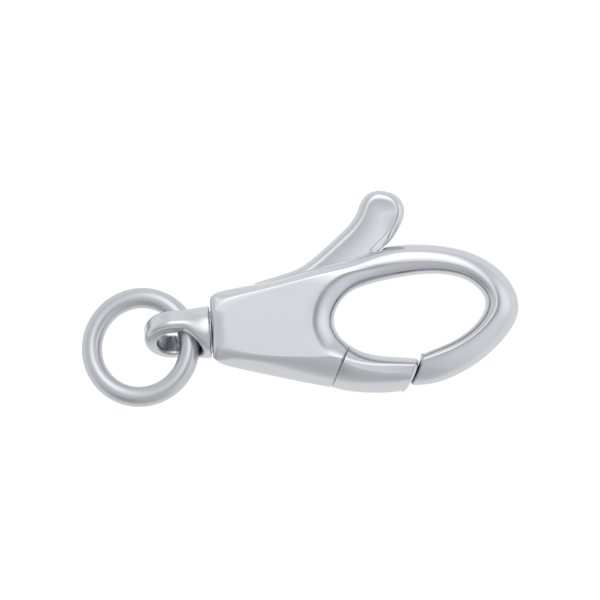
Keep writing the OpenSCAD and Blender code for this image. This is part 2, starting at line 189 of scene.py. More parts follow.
# The opening's outline, from the hook's tip round the nose and the top to the seam.
# Shares of the opening's length and width, measured from its middle.
# along, across
OPENING = [
    [0.056, -0.464],
    [0.122, -0.417],
    [0.229, -0.355],
    [0.330, -0.267],
    [0.424, -0.145],
    [0.484, -0.002],
    [0.500, 0.110],
    [0.487, 0.219],
    [0.419, 0.357],
    [0.319, 0.448],
    [0.164, 0.500],
    [-0.027, 0.481],
    [-0.186, 0.440],
    [-0.292, 0.398],
    [-0.366, 0.352],
    [-0.421, 0.281],
    [-0.469, 0.179],
    [-0.495, 0.060],
    [-0.499, -0.036],
    [-0.488, -0.110],
    [-0.461, -0.205],
    [-0.408, -0.293],
]

# The hook's band, a row for each point of the opening's outline. Width is a share of the bow's
# width and thickness a share of its thickness, rolls are shares of the width, and walls are the
# upright shares of the half thickness. A bend of 2 is a round roll and a lower one more of a bevel.
# width, thickness, outer roll, outer wall, inner roll, inner wall, outer bend, inner bend
HOOK = [
    [1.01, 1.18, 0.78, 0.25, 0.16, 0.72, 1.35, 1.4],
    [1.04, 1.18, 0.80, 0.22, 0.17, 0.72, 1.35, 1.4],
    [1.00, 1.16, 0.80, 0.20, 0.18, 0.70, 1.35, 1.4],
    [0.97, 1.13, 0.79, 0.18, 0.20, 0.66, 1.35, 1.4],
    [0.95, 1.10, 0.76, 0.15, 0.23, 0.60, 1.38, 1.5],
    [1.02, 1.07, 0.72, 0.12, 0.27, 0.48, 1.42, 1.6],
    [1.06, 1.04, 0.66, 0.10, 0.32, 0.34, 1.50, 1.8],
    [0.93, 1.02, 0.60, 0.08, 0.38, 0.22, 1.65, 1.9],
    [0.86, 1.00, 0.57, 0.08, 0.42, 0.14, 1.90, 2.0],
    [0.86, 1.00, 0.56, 0.08, 0.44, 0.10, 2.05, 2.0],
    [0.90, 1.00, 0.54, 0.08, 0.45, 0.10, 2.10, 2.0],
    [1.01, 1.04, 0.51, 0.12, 0.47, 0.14, 2.05, 1.9],
    [0.98, 1.14, 0.46, 0.26, 0.50, 0.24, 1.80, 1.7],
]
# The same two bends for the housing's back, its end and belly, and the gate.
BACK_BENDS = [1.60, 1.60]
BELLY_BENDS = [1.32, 1.60]
GATE_BENDS = [1.40, 1.50]

# The housing, a row for each section from the bow's root over the back. Outer and cheek stations
# are shares of the opening's start, swell is the share of the way from the end's height to the
# full height, and cheek is the share of the outer height at which the flat cheek begins. Place
# counts rows of the opening's outline.
# outer, swell, cheek station, cheek, place, thickness, outer wall, inner roll, inner wall
BACK = [
    [1.160, 0.700, 1.200, 0.858, 13.0, 0.88, 0.42, 0.76, 0.32],
    [0.985, 0.585, 1.030, 0.865, 14.0, 0.96, 0.42, 0.88, 0.40],
    [0.805, 0.468, 0.830, 0.862, 15.0, 1.00, 0.42, 0.96, 0.43],
    [0.560, 0.250, 0.575, 0.885, 15.8, 1.00, 0.42, 1.00, 0.43],
    [0.290, 0.144, 0.297, 0.810, 16.5, 1.00, 0.46, 1.00, 0.43],
    [0.110, 0.058, 0.140, 0.740, 17.0, 1.00, 0.60, 1.00, 0.43],
]
BELLY = [
    [0.115, 0.120, 0.150, 0.615, 19.0, 1.00, 0.45, 1.00, 0.43],
    [0.330, 0.305, 0.355, 0.626, 19.5, 1.00, 0.22, 1.00, 0.43],
    [0.590, 0.520, 0.615, 0.567, 20.0, 1.00, 0.16, 1.00, 0.43],
    [0.820, 0.700, 0.830, 0.530, 20.5, 1.00, 0.14, 0.88, 0.43],
]

# The housing's upright end, from the upper corner to the lower one. Height is a share of the
# end's height without its rounded corner, and turn is how far round that corner.
# side, height, turn, cheek station, cheek, place
END = [
    [1, 1.00, 60, 0.075, 0.660, 17.4],
    [1, 1.00, 25, 0.045, 0.580, 17.7],
    [1, 1.00, 0, 0.034, 0.480, 17.9],
    [1, 0.12, 0, 0.033, 0.060, 18.1],
    [-1, 1.00, 0, 0.034, 0.440, 18.3],
    [-1, 1.00, 25, 0.045, 0.510, 18.5],
    [-1, 1.00, 60, 0.075, 0.570, 18.7],
]
# The upright shares of the half thickness at the end and at the opening beside it.
END_WALL = 0.8
OPEN_WALL = 0.43

# The seam between the housing and the gate leans by this bearing, and its swell is counted like
# the belly's.
SEAM_TURN = math.radians(-116.5)
SEAM_SWELL = 0.785
# thickness, outer roll, outer wall, inner roll, inner wall
SEAM = [0.98, 0.62, 0.14, 0.32, 0.43]
# How far both edges at the seam draw in at the sides, and at the top and bottom.
SEAM_SIDE = 0.05 * MM
SEAM_DEEP = 0.17 * MM

# The gate, a row for each section from the seam to the tip. Along and across are shares like the
# outline's, and depth is a share of the belly's depth.
# along, across, depth, thickness, outer roll, outer wall, inner roll, inner wall
GATE = [
    [-0.336, -0.376, 0.938, 0.97, 0.60, 0.14, 0.28, 0.40],
    [-0.233, -0.436, 0.978, 0.95, 0.57, 0.14, 0.25, 0.36],
    [-0.129, -0.464, 0.998, 0.93, 0.54, 0.14, 0.22, 0.34],
    [-0.039, -0.483, 1.000, 0.91, 0.52, 0.14, 0.21, 0.34],
    [0.030, -0.500, 0.984, 0.89, 0.50, 0.14, 0.20, 0.34],
    [0.085, -0.515, 0.920, 0.88, 0.50, 0.14, 0.20, 0.34],
]

# The lever's outline outside the housing, from the heel round the thumb pad to the bow.
# Shares of the pad's reach along the clasp and of its height across it.
# along, across
LEVER = [
    [0.222, 0.350],
    [0.327, 0.389],
    [0.411, 0.422],
    [0.448, 0.442],
    [0.488, 0.473],
    [0.551, 0.540],
    [0.619, 0.622],
    [0.684, 0.704],
    [0.715, 0.747],
    [0.743, 0.797],
    [0.764, 0.849],
    [0.782, 0.909],
    [0.805, 0.960],
    [0.840, 0.992],
    [0.880, 1.000],
    [0.923, 0.988],
    [0.960, 0.962],
    [0.988, 0.916],
    [1.000, 0.860],
    [0.997, 0.799],
    [0.981, 0.739],
    [0.959, 0.684],
    [0.935, 0.636],
    [0.899, 0.584],
]

# Inside the housing the trigger's tongue runs from the heel and the lever to the hub, and its
# neck from the hub to the gate. Each row is a distance from the pivot and a bearing in degrees:
# on the edges a share of the reach past the hub and a bearing from the end's own, on the neck a
# share of the seam's distance and a true bearing.
HEEL_EDGE = [[0.70, -4], [0.40, -6], [0.12, 2]]
LEVER_EDGE = [[0.80, 3], [0.60, 8], [0.40, 14], [0.20, 17], [0.06, 11]]
NECK_TOP = [[0.42, -12], [0.71, -32], [1.02, -31], [1.50, -45]]
NECK_LOW = [[1.35, -71], [1.05, -82], [0.55, -118], [0.42, -160]]
SLOT_NECK = [[1.70, -60], [1.20, 5], [0.90, 18]]

# The slot's mouth outside the housing: a bearing past the lever's end and a distance outward.
SLOT_MOUTH = [[6, 0.75 * MM], [30, 1.5 * MM]]
SLOT_BACK = math.radians(-12)
SLOT_STEPS = 5
# The room between the tongue's edges and the slot's.
EDGE_GAP = 0.06 * MM
EDGE_TURN = math.radians(0.8)

# The tip's end face leans by this, and reaches this far past the corner of its outline.
TIP_TILT = math.radians(9)
TIP_TRIM = 0.015 * MM

LEVER_STEPS = 12
# The row of the lever's outline at which the thumb pad's back turns into its front.
PAD_TURN = 19


def through(rows, steps):
    """Points on a curve through the rows that bends smoothly, with steps from row to row."""
    p = np.asarray(rows, float)
    n = len(p)
    system = np.diag([2.0] + [4.0] * (n - 2) + [2.0]) + np.eye(n, k=1) + np.eye(n, k=-1)
    ahead, behind = np.vstack([p[1:], p[-1:]]), np.vstack([p[:1], p[:-1]])
    slope = np.linalg.solve(system, 3 * (ahead - behind))
    t = np.arange(steps)[:, None, None] / steps
    start, rise = 2 * t**3 - 3 * t**2 + 1, t**3 - 2 * t**2 + t
    end, fall = 3 * t**2 - 2 * t**3, t**3 - t**2
    spans = start * p[:-1] + rise * slope[:-1] + end * p[1:] + fall * slope[1:]
    return np.vstack([spans.transpose(1, 0, 2).reshape(-1, p.shape[1]), p[-1:]])


def eased(rows, passes):
    """The rows with small waves along them smoothed away, and both ends kept."""
    p = np.array(rows, float)
    for _ in range(passes):
        p[1:-1] = (p[:-2] + 2 * p[1:-1] + p[2:]) / 4
    return p


def unit(v):
    """Vectors of length one."""
    v = np.asarray(v, float)
    return v / np.linalg.norm(v, axis=-1, keepdims=True)


def toward(bearing):
    """The direction at a bearing from the X axis."""
    return np.array([math.cos(bearing), math.sin(bearing)])


def bearing_of(p):
    """The bearing of a direction from the X axis."""
    return math.atan2(p[1], p[0])


class Plan:
    """Places in the clasp's middle plane that several pieces share."""

    ROW_STEPS = 24
    EASE = 60

    def __init__(self, housing, trigger):
        self.h, self.t = housing, trigger
        self.half = housing.body_t / 2
        self.pivot = np.array([trigger.pivot_x, -trigger.pivot_down])
        self.middle = np.array([housing.open_x + housing.open_l / 2, housing.open_y])
        self.across = np.array([housing.open_l, housing.open_w])
        self.opening = self.middle + np.array(OPENING) * self.across
        self.outline = eased(through(self.opening, self.ROW_STEPS), self.EASE)
        self.normals = unit(np.gradient(self.outline, axis=0))[:, ::-1] * [1, -1]
        tip = self.opening[0] - self.pivot
        self.tip_r = np.linalg.norm(tip) + TIP_TRIM
        self.gate_r = self.tip_r - trigger.tip_gap
        self.tip_dir = toward(bearing_of(tip) - TIP_TILT - math.pi / 2)
        self.seam_dir = toward(SEAM_TURN)
        self.seam_square = np.array([-self.seam_dir[1], self.seam_dir[0]])
        self.seam_inner = self.opening[-1]
        self.gate_start = self.seam_inner + self.seam_square * trigger.seam_gap
        self.seam_depth = housing.end_down + SEAM_SWELL * (housing.drop - housing.end_down)
        self.lever = through(np.array(LEVER) * [trigger.pad_out, trigger.pad_up], LEVER_STEPS)
        self.heel = self.polar(self.lever[0])
        self.lever_end = self.polar(self.lever[-1])
        self.seam_across = np.linalg.norm(self.seam_inner - self.pivot)

    def at(self, place):
        """The outline's point and outward direction at a place counted in rows."""
        i = min(len(self.outline) - 1, max(0, round(place * self.ROW_STEPS)))
        return self.outline[i], self.normals[i]

    def polar(self, point):
        """A point as its distance and bearing from the pivot."""
        return np.array([np.linalg.norm(point - self.pivot), bearing_of(point - self.pivot)])

    def placed(self, rows, turned=0.0, grown=0.0):
        """Points from distances and bearings about the pivot, turned and moved out."""
        return [self.pivot + toward(r[1] + turned) * (r[0] + grown) for r in rows]

    def edge(self, rows, end):
        """Rows of an edge between the hub and one end, as distances and bearings."""
        hub = self.t.hub_d / 2
        return [[hub + (end[0] - hub) * r[0], end[1] + math.radians(r[1])] for r in rows]

    def neck(self, rows):
        """Rows of the neck, as distances and bearings."""
        hub = self.t.hub_d / 2
        return [[max(hub, self.seam_across * r[0]), math.radians(r[1])] for r in rows]


def section(outer, crease, inner_crease, inner, high, outer_wall, inner_wall, bends):
    """One section of a loft: four points in the middle plane, three heights and two bends.

    The walls are shares of the section's height above the middle plane.
    """
    heights = [high, outer_wall * high, inner_wall * high]
    return np.concatenate([outer, crease, inner_crease, inner, heights, bends])


def leaning(plan, inner, direction, depth, row):
    """A section from the opening's side straight down to a depth, in an upright plane."""
    thickness, outer_roll, outer_wall, inner_roll, inner_wall = row
    across = direction * ((depth + inner[1]) / -direction[1])
    return section(
        inner + across, inner + across * (1 - outer_roll), inner + across * inner_roll, inner,
        thickness * plan.half, outer_wall, inner_wall, GATE_BENDS,
    )


def hook_sections(plan):
    """The hook's sections, from its tip round the nose to the bow's root."""
    made = []
    for place, row in enumerate(HOOK):
        width, thickness, outer_roll, outer_wall, inner_roll, inner_wall, *bends = row
        inner, out = plan.at(place)
        if place == 0:
            out = plan.tip_dir
        elif place == 1:
            out = unit(plan.tip_dir + 2 * out)
        across = out * (width * plan.h.bow_w)
        made.append(section(
            inner + across, inner + across * (1 - outer_roll), inner + across * inner_roll, inner,
            thickness * plan.h.bow_t / 2, outer_wall, inner_wall, bends,
        ))
    return made


def housing_sections(plan, rows, side):
    """The housing's sections along its back or its belly."""
    near, far = (plan.h.end_up, plan.h.rise) if side > 0 else (plan.h.end_down, plan.h.drop)
    made = []
    for outer, swell, station, cheek, place, thickness, outer_wall, inner_roll, inner_wall in rows:
        y = side * (near + swell * (far - near))
        inner, out = plan.at(place)
        made.append(section(
            [outer * plan.h.open_x, y], [station * plan.h.open_x, y * cheek],
            inner + out * plan.h.open_lip * inner_roll, inner, thickness * plan.half,
            outer_wall, inner_wall, BACK_BENDS if side > 0 else BELLY_BENDS,
        ))
    return made


def end_sections(plan):
    """The sections round the housing's upright end."""
    made = []
    corner = plan.h.end_corner
    for side, height, degrees, station, cheek, place in END:
        reach = plan.h.end_up if side > 0 else plan.h.end_down
        angle = math.radians(degrees)
        high = (reach - corner) * height + corner * math.sin(angle)
        inner, out = plan.at(place)
        made.append(section(
            [corner * (1 - math.cos(angle)), side * high],
            [station * plan.h.open_x, side * reach * cheek], inner + out * plan.h.open_lip,
            inner, plan.half, END_WALL, OPEN_WALL, BELLY_BENDS,
        ))
    return made


def body_sections(plan):
    """All sections of the hook and housing, from the tip to the seam."""
    seam = leaning(plan, plan.seam_inner, plan.seam_dir, plan.seam_depth, SEAM)
    back, belly = housing_sections(plan, BACK, 1), housing_sections(plan, BELLY, -1)
    return np.array(hook_sections(plan) + back + end_sections(plan) + belly + [seam])


def gate_sections(plan):
    """All sections of the gate, from the seam to beyond its end."""
    made = [leaning(plan, plan.gate_start, plan.seam_dir, plan.seam_depth, SEAM)]
    for along, across, depth, *row in GATE:
        inner = plan.middle + plan.across * [along, across]
        made.append(leaning(plan, inner, plan.tip_dir, depth * plan.h.drop, row))
    return np.array(made)


# How many faces a section has over each roll, over its flat top and down each wall.
ROLL = 16
FLAT = 8
WALL = 3


def roll_of(edge, crease, wall, top, bend):
    """Points that rise from an upright wall and bend over to a flat crease."""
    q = np.linspace(0, math.pi / 2, ROLL + 1)[:, None]
    across, up = 1 - np.cos(q) ** (2 / bend), np.sin(q) ** (2 / bend)
    return np.hstack([edge + (crease - edge) * across, wall + (top - wall) * up])


def ring_of(s, cap):
    """The closed ring of points round one section, from the outer wall over the top and back."""
    outer, crease, inner_crease, inner = s[0:2], s[2:4], s[4:6], s[6:8]
    top, outer_wall, inner_wall = min(cap, s[8]), s[9], s[10]
    outer = np.array([max(0.0, outer[0]), outer[1]])
    outer_roll = roll_of(outer, crease, outer_wall, top, s[11])
    inner_roll = roll_of(inner, inner_crease, inner_wall, top, s[12])
    u = np.linspace(0, 1, FLAT + 1)[1:-1, None]
    flat = np.hstack([crease + (inner_crease - crease) * u, np.full_like(u, top)])
    w = np.linspace(0, 1, WALL + 1)[:-1, None]
    outer_side = np.hstack([outer + 0 * w, outer_wall * w])
    inner_side = np.hstack([inner + 0 * w, inner_wall * w])[::-1]
    upper = np.vstack([outer_side, outer_roll, flat, inner_roll[::-1], inner_side])
    return np.vstack([upper, upper[-2:0:-1] * [1, 1, -1]])


def rings_of(sections, steps, passes, cap):
    """The rings of a smooth loft through the sections."""
    return np.array([ring_of(s, cap) for s in eased(through(sections, steps), passes)])


def trimmed(rings, level, upto):
    """The loft with its first rings moved up along it, so that it starts where level is zero."""
    above = level[: upto + 1] <= 0
    first = np.argmax(above, axis=0)
    before = np.maximum(first - 1, 0)
    columns = np.arange(rings.shape[1])
    a, b = level[before, columns], level[first, columns]
    start = np.where(first > 0, before + a / np.where(a == b, 1, a - b), 0)
    k = np.arange(upto + 1)[:, None] / upto
    place = start * (1 - k) + upto * k
    low = np.minimum(np.floor(place).astype(int), len(rings) - 2)
    f = (place - low)[..., None]
    moved = rings[low, columns] * (1 - f) + rings[low + 1, columns] * f
    return np.concatenate([moved, rings[upto + 1:]])


def rounded_end(ring, outward, radius, side, deep, steps=6):
    """Rings that carry a loft's first ring over a rounded edge to its end face.

    The edge reaches a radius outward, and draws in by one amount at the sides and by another at
    the top and bottom.
    """
    outward = np.column_stack([outward, np.zeros(len(ring))])
    span = unit(ring[len(ring) // 2 - 1, :2] - ring[0, :2])
    flat = np.stack([ring[:, :2] @ span, ring[:, 2]], 1)
    run = np.roll(flat, -1, 0) - np.roll(flat, 1, 0)
    inward = unit(np.stack([-run[:, 1], run[:, 0]], 1))
    if ((flat.mean(0) - flat) * inward).sum() < 0:
        inward = -inward
    inward = np.hstack([inward[:, :1] * side * span, inward[:, 1:] * deep])
    angles = np.linspace(0, math.pi / 2, steps + 1)[1:]
    return np.array([
        ring + outward * radius * math.sin(a) + inward * (1 - math.cos(a)) for a in angles
    ])[::-1]


def straight_cut(place, outward):
    """A straight end face: gives how far points lie beyond it, and which way is out."""
    return lambda p: ((p - place) @ outward, np.broadcast_to(outward, p.shape))


def round_cut(centre, radius, side):
    """An end face along an arc, in the same way. Side is 1 to keep what lies inside the arc."""
    return lambda p: (
        side * (np.linalg.norm(p - centre, axis=-1) - radius), side * unit(p - centre)
    )


def finished_end(rings, cut, rows, edge, side, deep):
    """The loft with its first rows drawn up to an end face, and a rounded edge round that face."""
    rings = trimmed(rings, cut(rings[..., :2])[0] + edge, rows)
    outward = cut(rings[0, :, :2])[1]
    return np.concatenate([rounded_end(rings[0], outward, edge, side, deep), rings])


def loop_faces(rows, n, closed=False):
    """Faces between rows that are loops of n points. Closed joins the last row to the first."""
    i, j = np.meshgrid(np.arange(rows if closed else rows - 1), np.arange(n), indexing="ij")
    k, m = (i + 1) % rows, (j + 1) % n
    return np.stack([i * n + j, i * n + m, k * n + m, k * n + j], -1).reshape(-1, 4).tolist()


def loft_mesh(name, rings):
    """A closed mesh through rings that each run over the top and back underneath."""
    count, n = rings.shape[:2]
    sides = loop_faces(count, n)
    for base in (0, (count - 1) * n):
        for a in range(n // 2):
            face = [base + a, base + a + 1, base + (n - a - 1) % n, base + (n - a) % n]
            sides.append(list(dict.fromkeys(face)))
    return mesh_of(name, rings.reshape(-1, 3), sides)


def mesh_of(name, points, faces):
    """A mesh whose faces all look outward."""
    mesh = bpy.data.meshes.new(name)
    mesh.from_pydata([tuple(p) for p in np.asarray(points)], [], faces)
    work = bmesh.new()
    work.from_mesh(mesh)
    bmesh.ops.remove_doubles(work, verts=work.verts, dist=1e-7)
    bmesh.ops.dissolve_degenerate(work, edges=work.edges, dist=1e-8)
    bmesh.ops.recalc_face_normals(work, faces=work.faces)
    work.to_mesh(mesh)
    work.free()
    mesh.update()
    return mesh


def stack_mesh(name, loops):
    """A solid through loops of points one over the other, with a flat face at each end."""
    rows, n = len(loops), len(loops[0])
    ends = [list(range(n)), list(range((rows - 1) * n, rows * n))]
    return mesh_of(name, [p for loop in loops for p in loop], ends + loop_faces(rows, n))


def prism_mesh(name, outline, thickness):
    """A flat plate of some thickness with the given outline, centred on the middle plane."""
    return stack_mesh(name, [[(*p, z) for p in outline] for z in (-thickness / 2, thickness / 2)])


def round_mesh(name, profile, place, axis, sides=96):
    """A solid turned about an axis through a place, from rows of a radius and a distance."""
    place, axis = Vector(place), Vector(axis).normalized()
    side = axis.orthogonal().normalized()
    other = axis.cross(side)
    angles = np.linspace(0, 2 * math.pi, sides, endpoint=False)
    spokes = [side * math.cos(a) + other * math.sin(a) for a in angles]
    return stack_mesh(name, [
        [place + axis * along + spoke * radius for spoke in spokes] for radius, along in profile
    ])


def carved(mesh, cutters):
    """The mesh after each cutter has been taken from it, under the same name."""
    name = mesh.name
    worked = bpy.data.objects.new("worked", mesh)
    bpy.context.scene.collection.objects.link(worked)
    tools = []
    for cutter in cutters:
        tool = bpy.data.objects.new("tool", cutter)
        bpy.context.scene.collection.objects.link(tool)
        tools.append(tool)
        step = worked.modifiers.new("cut", "BOOLEAN")
        step.operation, step.solver, step.object = "DIFFERENCE", "EXACT", tool
    bpy.context.view_layer.update()
    seen = worked.evaluated_get(bpy.context.evaluated_depsgraph_get())
    result = bpy.data.meshes.new_from_object(seen)
    for thing in [worked] + tools:
        data = thing.data
        bpy.data.objects.remove(thing)
        bpy.data.meshes.remove(data)
    if len(result.polygons) == 0:
        raise RuntimeError("a cut left nothing of the piece")
    result.name = name
    return result


def surface_mesh(name, field, low, high, cell):
    """A closed mesh where the field is zero. The field is negative inside and takes points."""
    axes = [np.arange(a, b + cell, cell) for a, b in zip(low, high)]
    grid = np.stack(np.meshgrid(*axes, indexing="ij"), -1)
    inside = field(grid.reshape(-1, 3)).reshape(grid.shape[:3]) < 0
    shape = tuple(s - 1 for s in inside.shape)
    parts = [slice(0, -1), slice(1, None)]
    count = sum(inside[a, b, c].astype(int) for a in parts for b in parts for c in parts)
    mixed = (count > 0) & (count < 8)
    number = np.full(shape, -1)
    number[mixed] = np.arange(mixed.sum())
    points = grid[:-1, :-1, :-1][mixed] + cell / 2
    faces = []
    for axis in range(3):
        one, two = [(1, 2), (2, 0), (0, 1)][axis]
        ahead = np.take(inside, range(1, inside.shape[axis]), axis)
        behind = np.take(inside, range(inside.shape[axis] - 1), axis)
        for change, flip in ((behind & ~ahead, False), (~behind & ahead, True)):
            place = np.argwhere(change)
            step_one, step_two = np.eye(3, dtype=int)[one], np.eye(3, dtype=int)[two]
            around = [place - step_one - step_two, place - step_two, place, place - step_one]
            quad = np.stack([number[tuple(p.T)] for p in around], 1)
            faces.append(quad[:, ::-1] if flip else quad)
    points = drawn_on(field, points, cell)
    return mesh_of(name, points, np.concatenate(faces).tolist())


def slope_of(field, points, reach):
    """How the field changes along each axis at the points."""
    steps = np.eye(3) * reach
    return np.stack([(field(points + s) - field(points - s)) / (2 * reach) for s in steps], -1)


def drawn_on(field, points, cell, rounds=8):
    """The points moved straight onto the surface, by no more than a cell in each round."""
    for _ in range(rounds):
        slope = slope_of(field, points, cell / 20)
        move = -field(points)[:, None] * slope / np.maximum((slope**2).sum(1, keepdims=True), 1e-9)
        far = np.linalg.norm(move, axis=1, keepdims=True)
        points = points + move * np.minimum(1, cell / 2 / np.maximum(far, 1e-12))
    return points


def melted(a, b, width):
    """What two fields have in common, with the edge between them softened over some width."""
    h = np.maximum(width - np.abs(a - b), 0) / width
    return np.maximum(a, b) + h * h * width / 4


# Silver and other finishes


class Socket:
    """A value inside a material's nodes, with arithmetic that adds Math nodes."""

    def __init__(self, graph, socket):
        self.graph, self.socket = graph, socket

    def _math(self, operation, *values):
        inputs = dict(enumerate(values))
        return self.graph.node("ShaderNodeMath", {"operation": operation}, inputs)

    def __add__(self, other):
        return self._math("ADD", self, other)

    def __sub__(self, other):
        return self._math("SUBTRACT", self, other)

    def __rsub__(self, other):
        return self._math("SUBTRACT", other, self)

    def __mul__(self, other):
        return self._math("MULTIPLY", self, other)

    def __truediv__(self, other):
        return self._math("DIVIDE", self, other)

    def __rtruediv__(self, other):
        return self._math("DIVIDE", other, self)

    def __pow__(self, other):
        return self._math("POWER", self, other)

    def __rpow__(self, other):
        return self._math("POWER", other, self)

    __radd__, __rmul__ = __add__, __mul__

    def exp(self):
        """e to the power of this value."""
        return self._math("EXPONENT", self)

    def at_most(self, high):
        """This value, or the given one where that is smaller."""
        return self._math("MINIMUM", self, high)

    def at_least(self, low):
        """This value, or the given one where that is larger."""
        return self._math("MAXIMUM", self, low)


class Graph:
    """The nodes of one material or of the world."""

    def __init__(self, owner):
        owner.use_nodes = True
        self.tree = owner.node_tree
        self.tree.nodes.clear()

    def node(self, kind, settings=None, inputs=None, output=0):
        """Adds a node of any kind, and gives one of its outputs."""
        made = self.tree.nodes.new(kind)
        for name, value in (settings or {}).items():
            setattr(made, name, value)
        for name, value in (inputs or {}).items():
            socket = self.pick(made.inputs, name)
            if isinstance(value, Socket):
                self.tree.links.new(value.socket, socket)
            else:
                socket.default_value = value
        return Socket(self, self.pick(made.outputs, output)) if len(made.outputs) else None

    @staticmethod
    def pick(sockets, key):
        """A socket by its place, or by its name among those in use."""
        if isinstance(key, int):
            return sockets[key]
        return next(socket for socket in sockets if socket.enabled and socket.name == key)


# How fine the polish's broad and fine unevenness is, and how much darker its darkest places are.
BROAD_GRAIN = 260.0
FINE_GRAIN = 2400.0
UNEVEN = 0.93


def silver_material(name, tint, finish, grain, worn=0.0):
    """Polished silver: a mirror softened by hand polishing, with a faint unevenness."""
    material = bpy.data.materials.new(name)
    graph = Graph(material)
    place = graph.node("ShaderNodeTexCoord", output="Object")
    broad = graph.node("ShaderNodeTexNoise", None, {
        "Vector": place, "Scale": BROAD_GRAIN * grain, "Detail": 2.0,
    })
    fine = graph.node("ShaderNodeTexNoise", None, {
        "Vector": place, "Scale": FINE_GRAIN * grain, "Detail": 4.0,
    })
    roughness = finish.gloss + worn + (broad - 0.5) * (2 * finish.haze) + (fine - 0.5) * finish.haze
    darker = tuple(c * UNEVEN for c in tint)
    base = graph.node(
        "ShaderNodeMix", {"data_type": "RGBA"},
        {"Factor": broad, "A": (*darker, 1.0), "B": (*tint, 1.0)}, output="Result",
    )
    soft = graph.node("ShaderNodeBump", None, {
        "Height": broad, "Distance": finish.ripple, "Strength": 1.0,
    })
    shine = graph.node("ShaderNodeBsdfPrincipled", None, {
        "Base Color": base, "Metallic": 1.0, "Roughness": roughness, "Normal": soft,
    })
    graph.node("ShaderNodeOutputMaterial", None, {"Surface": shine})
    return material


def table_material(stage):
    """A plain matt table that gives off most of its light itself, so that shadows stay faint."""
    material = bpy.data.materials.new("white_table")
    graph = Graph(material)
    place = graph.node("ShaderNodeTexCoord", output="Object")
    grain = graph.node("ShaderNodeTexNoise", inputs={"Vector": place, "Scale": 40.0, "Detail": 3.0})
    matt = graph.node("ShaderNodeBsdfPrincipled", None, {
        "Base Color": (*stage.table, 1.0), "Roughness": 0.75 + 0.1 * grain,
        "Specular IOR Level": 0.2, "Emission Color": (1.0, 1.0, 1.0, 1.0),
        "Emission Strength": stage.table_glow,
    })
    graph.node("ShaderNodeOutputMaterial", None, {"Surface": matt})
    return material


# Soft patches of light and shade round the table. Each stands where a mirror with this tilt would
# show it to someone looking straight down.
# tilt towards +X, tilt towards +Y, half width along X, half width along Y, strength
PATCHES = [
    [0.01, 0.34, 0.19, 0.34, 1.12],
    [-0.10, -0.26, 0.24, 0.20, -0.11],
    [-0.10, -0.85, 0.50, 0.42, -0.24],
    [0.22, -0.04, 0.12, 0.20, -0.38],
    [0.38, -0.42, 0.22, 0.28, 0.16],
    [0.62, 0.05, 0.24, 0.35, 0.45],
    [-0.46, -0.42, 0.26, 0.28, -0.38],
]
# The even shell's own brightness, and the darkest that the patches may make it.
SKY = 0.91
DARKEST = 0.05
# The dark rim of the lens straight above: its tilt, its half width and its strength.
LENS = [0.10, 0.045, -0.20]
# How steeply and by how much the shell brightens towards the table's edge.
HORIZON = [6.0, 0.20]


def light_round_table(scene):
    """A soft studio of one even shell with a few broad brighter and darker patches."""
    world = bpy.data.worlds.new("studio")
    scene.world = world
    graph = Graph(world)
    direction = graph.node("ShaderNodeTexCoord", output="Generated")
    x, y, z = (
        graph.node("ShaderNodeSeparateXYZ", inputs={"Vector": direction}, output=axis)
        for axis in "XYZ"
    )
    above = (z + 1.0).at_least(0.02)
    tilt_x, tilt_y = x / above, y / above
    total = SKY
    for along, across, width, height, strength in PATCHES:
        off_x, off_y = (tilt_x - along) / width, (tilt_y - across) / height
        apart = off_x * off_x + off_y * off_y
        total = total + (0.0 - apart * apart).exp() * strength
    tilt = (tilt_x * tilt_x + tilt_y * tilt_y) ** 0.5
    place, width, strength = LENS
    off = (tilt - place) / width
    total = total + (0.0 - off * off).exp() * strength
    steep, strength = HORIZON
    total = total + (tilt.at_most(1.0) ** steep) * strength
    shell = graph.node("ShaderNodeBackground", None, {
        "Color": (0.985, 0.992, 1.0, 1.0), "Strength": total.at_least(DARKEST),
    })
    graph.node("ShaderNodeOutputWorld", None, {"Surface": shell})


def seat():
    """The place of the swivel seam's middle where the clasp lies."""
    return Vector((-bpy.context.scene.clasp_housing.open_x / 2, 0, CHEEKS / 2))


def add_piece(mesh, body, node, material, sharp=32):
    """Puts a finished mesh where the clasp lies, in place of a node of the frame."""
    mesh.transform(Matrix.Translation(seat()))
    mesh.shade_smooth()
    mesh.set_sharp_from_angle(angle=math.radians(sharp))
    mesh.materials.clear()
    mesh.materials.append(material)
    piece = bpy.data.objects.new(mesh.name, mesh)
    bpy.context.scene.collection.objects.link(piece)
    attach(piece, body)
    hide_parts(node)


def chosen():
    """The clasp's plan, the sizes of its eye and its finish, as they are set."""
    scene = bpy.context.scene
    housing, trigger = sizes_of(scene.clasp_housing), sizes_of(scene.clasp_trigger)
    return Plan(housing, trigger), sizes_of(scene.clasp_eye), scene.clasp_finish


def slot_outline(plan):
    """The outline of the slot in which the tongue turns."""
    swing = plan.t.swing + EDGE_TURN
    heel, end = plan.heel, plan.lever_end
    outline = plan.placed([heel], SLOT_BACK, EDGE_GAP)
    for turned in np.linspace(0, swing, SLOT_STEPS):
        outline += plan.placed([heel], turned, EDGE_GAP)
    outline += plan.placed(plan.edge(HEEL_EDGE, heel), swing, EDGE_GAP)
    outline += plan.placed(plan.neck(NECK_LOW)[::-1], -EDGE_TURN, EDGE_GAP)
    outline += plan.placed(plan.neck(SLOT_NECK))
    outline += plan.placed(plan.edge(LEVER_EDGE, end)[::-1], -EDGE_TURN, EDGE_GAP)
    outline += plan.placed([end], -EDGE_TURN, EDGE_GAP)
    for degrees, outward in SLOT_MOUTH:
        outline += plan.placed([end], math.radians(degrees), outward)
    return outline


